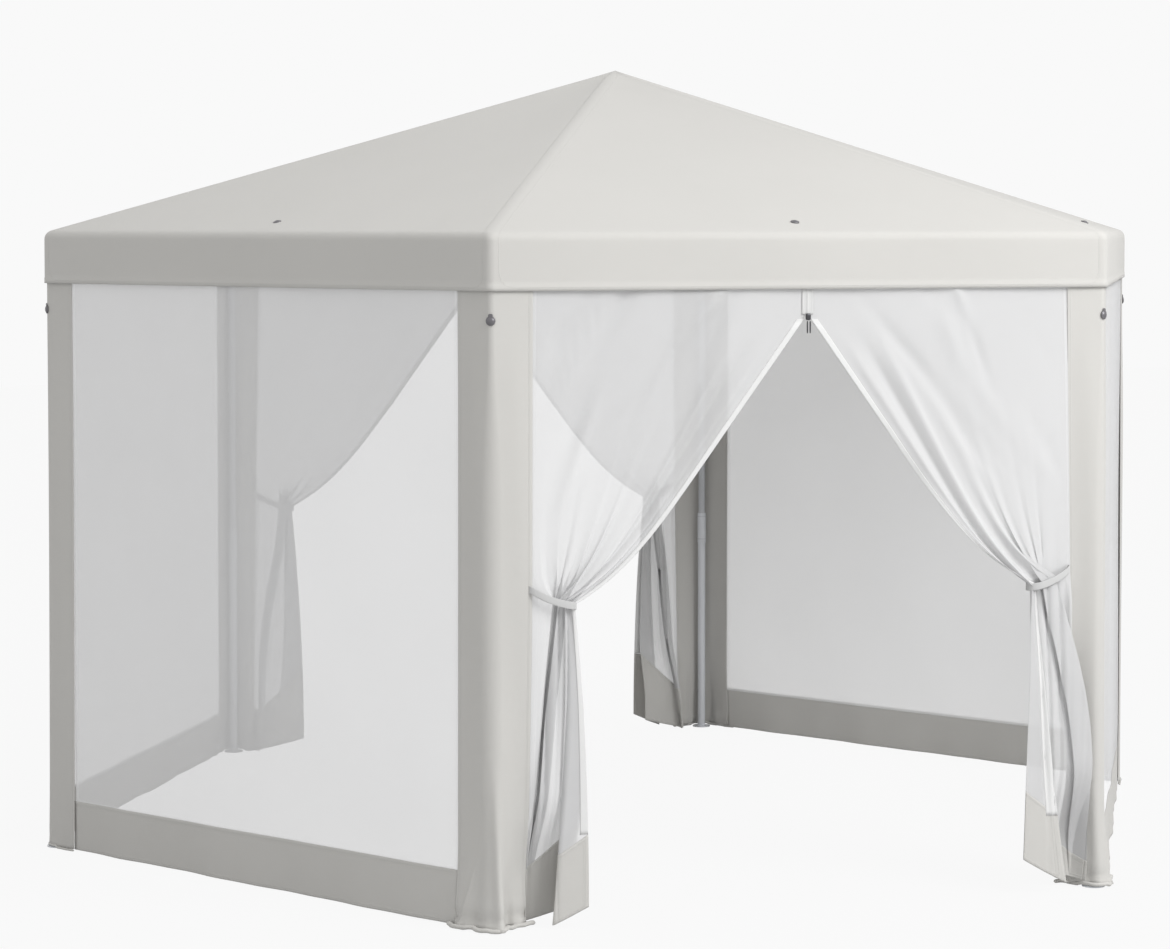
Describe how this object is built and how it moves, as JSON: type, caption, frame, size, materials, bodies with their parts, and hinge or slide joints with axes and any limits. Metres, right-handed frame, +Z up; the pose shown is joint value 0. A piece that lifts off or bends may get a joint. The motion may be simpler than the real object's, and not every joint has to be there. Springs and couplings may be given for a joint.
{
  "type": "garden gazebo",
  "caption": "Hexagonal party-tent gazebo: plug-together steel tube frame, low pyramid cloth roof with valance, net walls between corner strips and two doorways with tied-back curtains.",
  "frame": {"origin": "centre of the gazebo on the ground", "axes": "+Z up; -Y out of the front doorway, +Y out of the back doorway; +X towards the right-hand corner leg, seen from the front"},
  "size_m": [3.9, 3.4156, 2.535],
  "materials": {
    "lower_tube": "satin grey powder coat",
    "upper_tube": "satin grey powder coat",
    "rail_tube": "satin grey powder coat",
    "fitting": "dark grey pressed steel",
    "roof_cloth": "coated woven polyester",
    "sleeve_cloth": "woven polyester",
    "net": "fine knitted net",
    "strap": "woven tape"
  },
  "bodies": {
    "root": {"leg_lower_right": "lower_tube", "leg_lower_back_right": "lower_tube", "leg_lower_back_left": "lower_tube", "leg_lower_left": "lower_tube", "leg_lower_front_left": "lower_tube", "leg_lower_front_right": "lower_tube", "leg_upper_right": "upper_tube", "leg_upper_back_right": "upper_tube", "leg_upper_back_left": "upper_tube", "leg_upper_left": "upper_tube", "leg_upper_front_left": "upper_tube", "leg_upper_front_right": "upper_tube", "corner_fitting_right": "fitting", "corner_fitting_back_right": "fitting", "corner_fitting_back_left": "fitting", "corner_fitting_left": "fitting", "corner_fitting_front_left": "fitting", "corner_fitting_front_right": "fitting", "eave_rail_front_right": "rail_tube", "eave_rail_back_right": "rail_tube", "eave_rail_back": "rail_tube", "eave_rail_back_left": "rail_tube", "eave_rail_front_left": "rail_tube", "eave_rail_front": "rail_tube", "rafter_right": "rail_tube", "rafter_back_right": "rail_tube", "rafter_back_left": "rail_tube", "rafter_left": "rail_tube", "rafter_front_left": "rail_tube", "rafter_front_right": "rail_tube", "apex_hub": "fitting", "roof_cover": "roof_cloth", "corner_sleeve_right": "sleeve_cloth", "corner_sleeve_back_right": "sleeve_cloth", "corner_sleeve_back_left": "sleeve_cloth", "corner_sleeve_left": "sleeve_cloth", "corner_sleeve_front_left": "sleeve_cloth", "corner_sleeve_front_right": "sleeve_cloth", "net_wall_front_right": "net", "net_wall_back_right": "net", "net_wall_back_left": "net", "net_wall_front_left": "net", "door_curtain_front_left": "net", "door_curtain_front_right": "net", "door_curtain_back_left": "net", "door_curtain_back_right": "net", "tie_back_front_left": "strap", "tie_back_front_right": "strap", "tie_back_back_left": "strap", "tie_back_back_right": "strap"}
  },
  "joints": []
}
